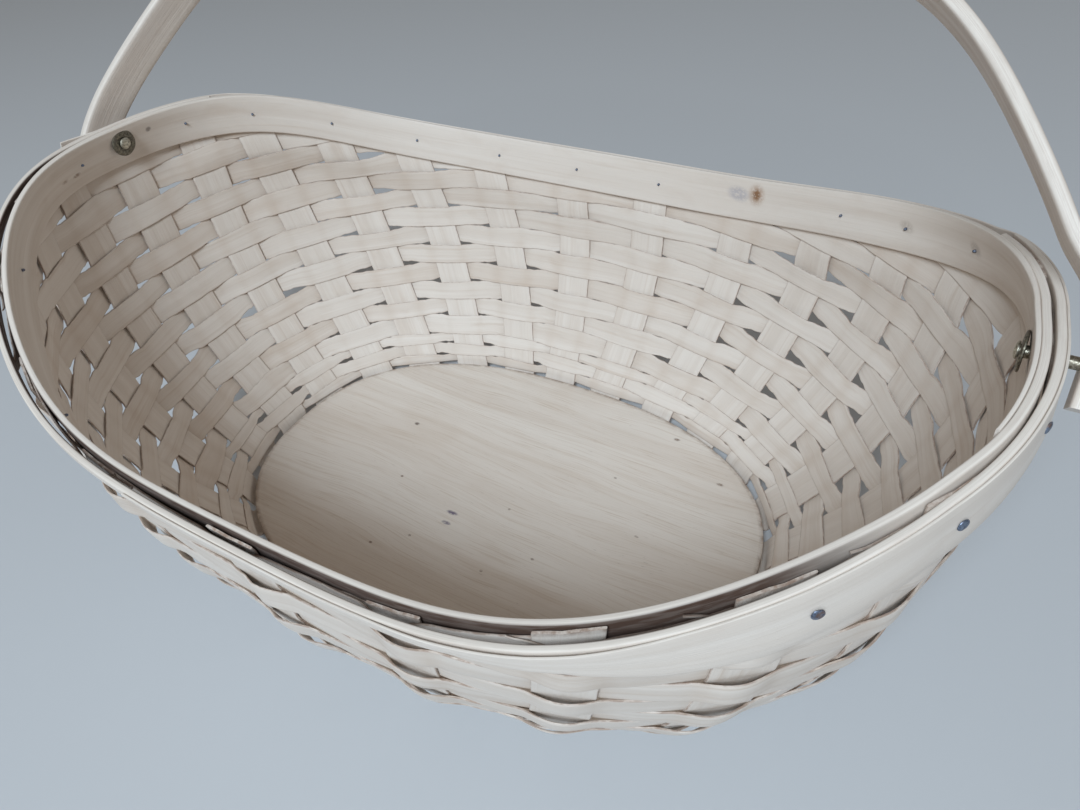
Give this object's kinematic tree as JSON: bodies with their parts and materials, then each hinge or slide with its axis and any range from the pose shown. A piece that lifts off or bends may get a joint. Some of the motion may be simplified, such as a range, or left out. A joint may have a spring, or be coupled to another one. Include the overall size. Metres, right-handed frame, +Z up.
{
  "type": "handled wood-splint basket",
  "caption": "Oval woven wood-splint basket with a boat-shaped bent rim, a flat floor panel and a riveted bentwood swing handle.",
  "frame": {"origin": "bottom centre of the overall box, on the plane the basket stands on", "axes": "+X along the long axis of the oval, parallel to the handle's rivets; +Y across, towards the side the handle leans to at rest; +Z up"},
  "size_m": [0.5728, 0.3906, 0.3483],
  "materials": {
    "splint_wood": "raw split wood",
    "weaver_wood": "raw split wood",
    "hoop_wood": "raw planed wood",
    "handle_wood": "raw steam-bent wood",
    "plywood": "raw plywood",
    "rivet_bronze": "darkened, satin",
    "nail_steel": "blued"
  },
  "bodies": {
    "basket": {"base_weaver_1": "weaver_wood", "base_weaver_2": "weaver_wood", "base_weaver_3": "weaver_wood", "crosswise_splint_1": "splint_wood", "crosswise_splint_2": "splint_wood", "crosswise_splint_3": "splint_wood", "crosswise_splint_4": "splint_wood", "crosswise_splint_5": "splint_wood", "crosswise_splint_6": "splint_wood", "crosswise_splint_7": "splint_wood", "end_weaver_left_1": "weaver_wood", "end_weaver_left_2": "weaver_wood", "end_weaver_left_3": "weaver_wood", "end_weaver_left_4": "weaver_wood", "end_weaver_right_1": "weaver_wood", "end_weaver_right_2": "weaver_wood", "end_weaver_right_3": "weaver_wood", "end_weaver_right_4": "weaver_wood", "floor_panel": "plywood", "handle_rivet_left": "rivet_bronze", "handle_rivet_right": "rivet_bronze", "inner_rim_hoop": "hoop_wood", "lengthwise_splint_1": "splint_wood", "lengthwise_splint_2": "splint_wood", "lengthwise_splint_3": "splint_wood", "lengthwise_splint_4": "splint_wood", "lengthwise_splint_5": "splint_wood", "outer_binding_band": "weaver_wood", "outer_rim_hoop": "hoop_wood", "rim_nail_01": "nail_steel", "rim_nail_02": "nail_steel", "rim_nail_03": "nail_steel", "rim_nail_04": "nail_steel", "rim_nail_05": "nail_steel", "rim_nail_06": "nail_steel", "rim_nail_07": "nail_steel", "rim_nail_08": "nail_steel", "rim_nail_09": "nail_steel", "rim_nail_10": "nail_steel", "rim_nail_11": "nail_steel", "rim_nail_12": "nail_steel", "rim_nail_13": "nail_steel", "rim_nail_14": "nail_steel", "rim_nail_15": "nail_steel", "rim_nail_16": "nail_steel", "rim_nail_17": "nail_steel", "rim_nail_18": "nail_steel", "rivet_burr_left": "rivet_bronze", "rivet_burr_right": "rivet_bronze", "wall_weaver_1": "weaver_wood", "wall_weaver_10": "weaver_wood", "wall_weaver_2": "weaver_wood", "wall_weaver_3": "weaver_wood", "wall_weaver_4": "weaver_wood", "wall_weaver_5": "weaver_wood", "wall_weaver_6": "weaver_wood", "wall_weaver_7": "weaver_wood", "wall_weaver_8": "weaver_wood", "wall_weaver_9": "weaver_wood"},
    "handle": {"handle": "handle_wood"}
  },
  "joints": [
    {"name": "handle_swing", "type": "hinge", "parent": "basket", "child": "handle", "pos_m": [0, -0.00986, 0.2138], "axis": [1, 0, 0], "range_deg": [-6, 60]}
  ]
}
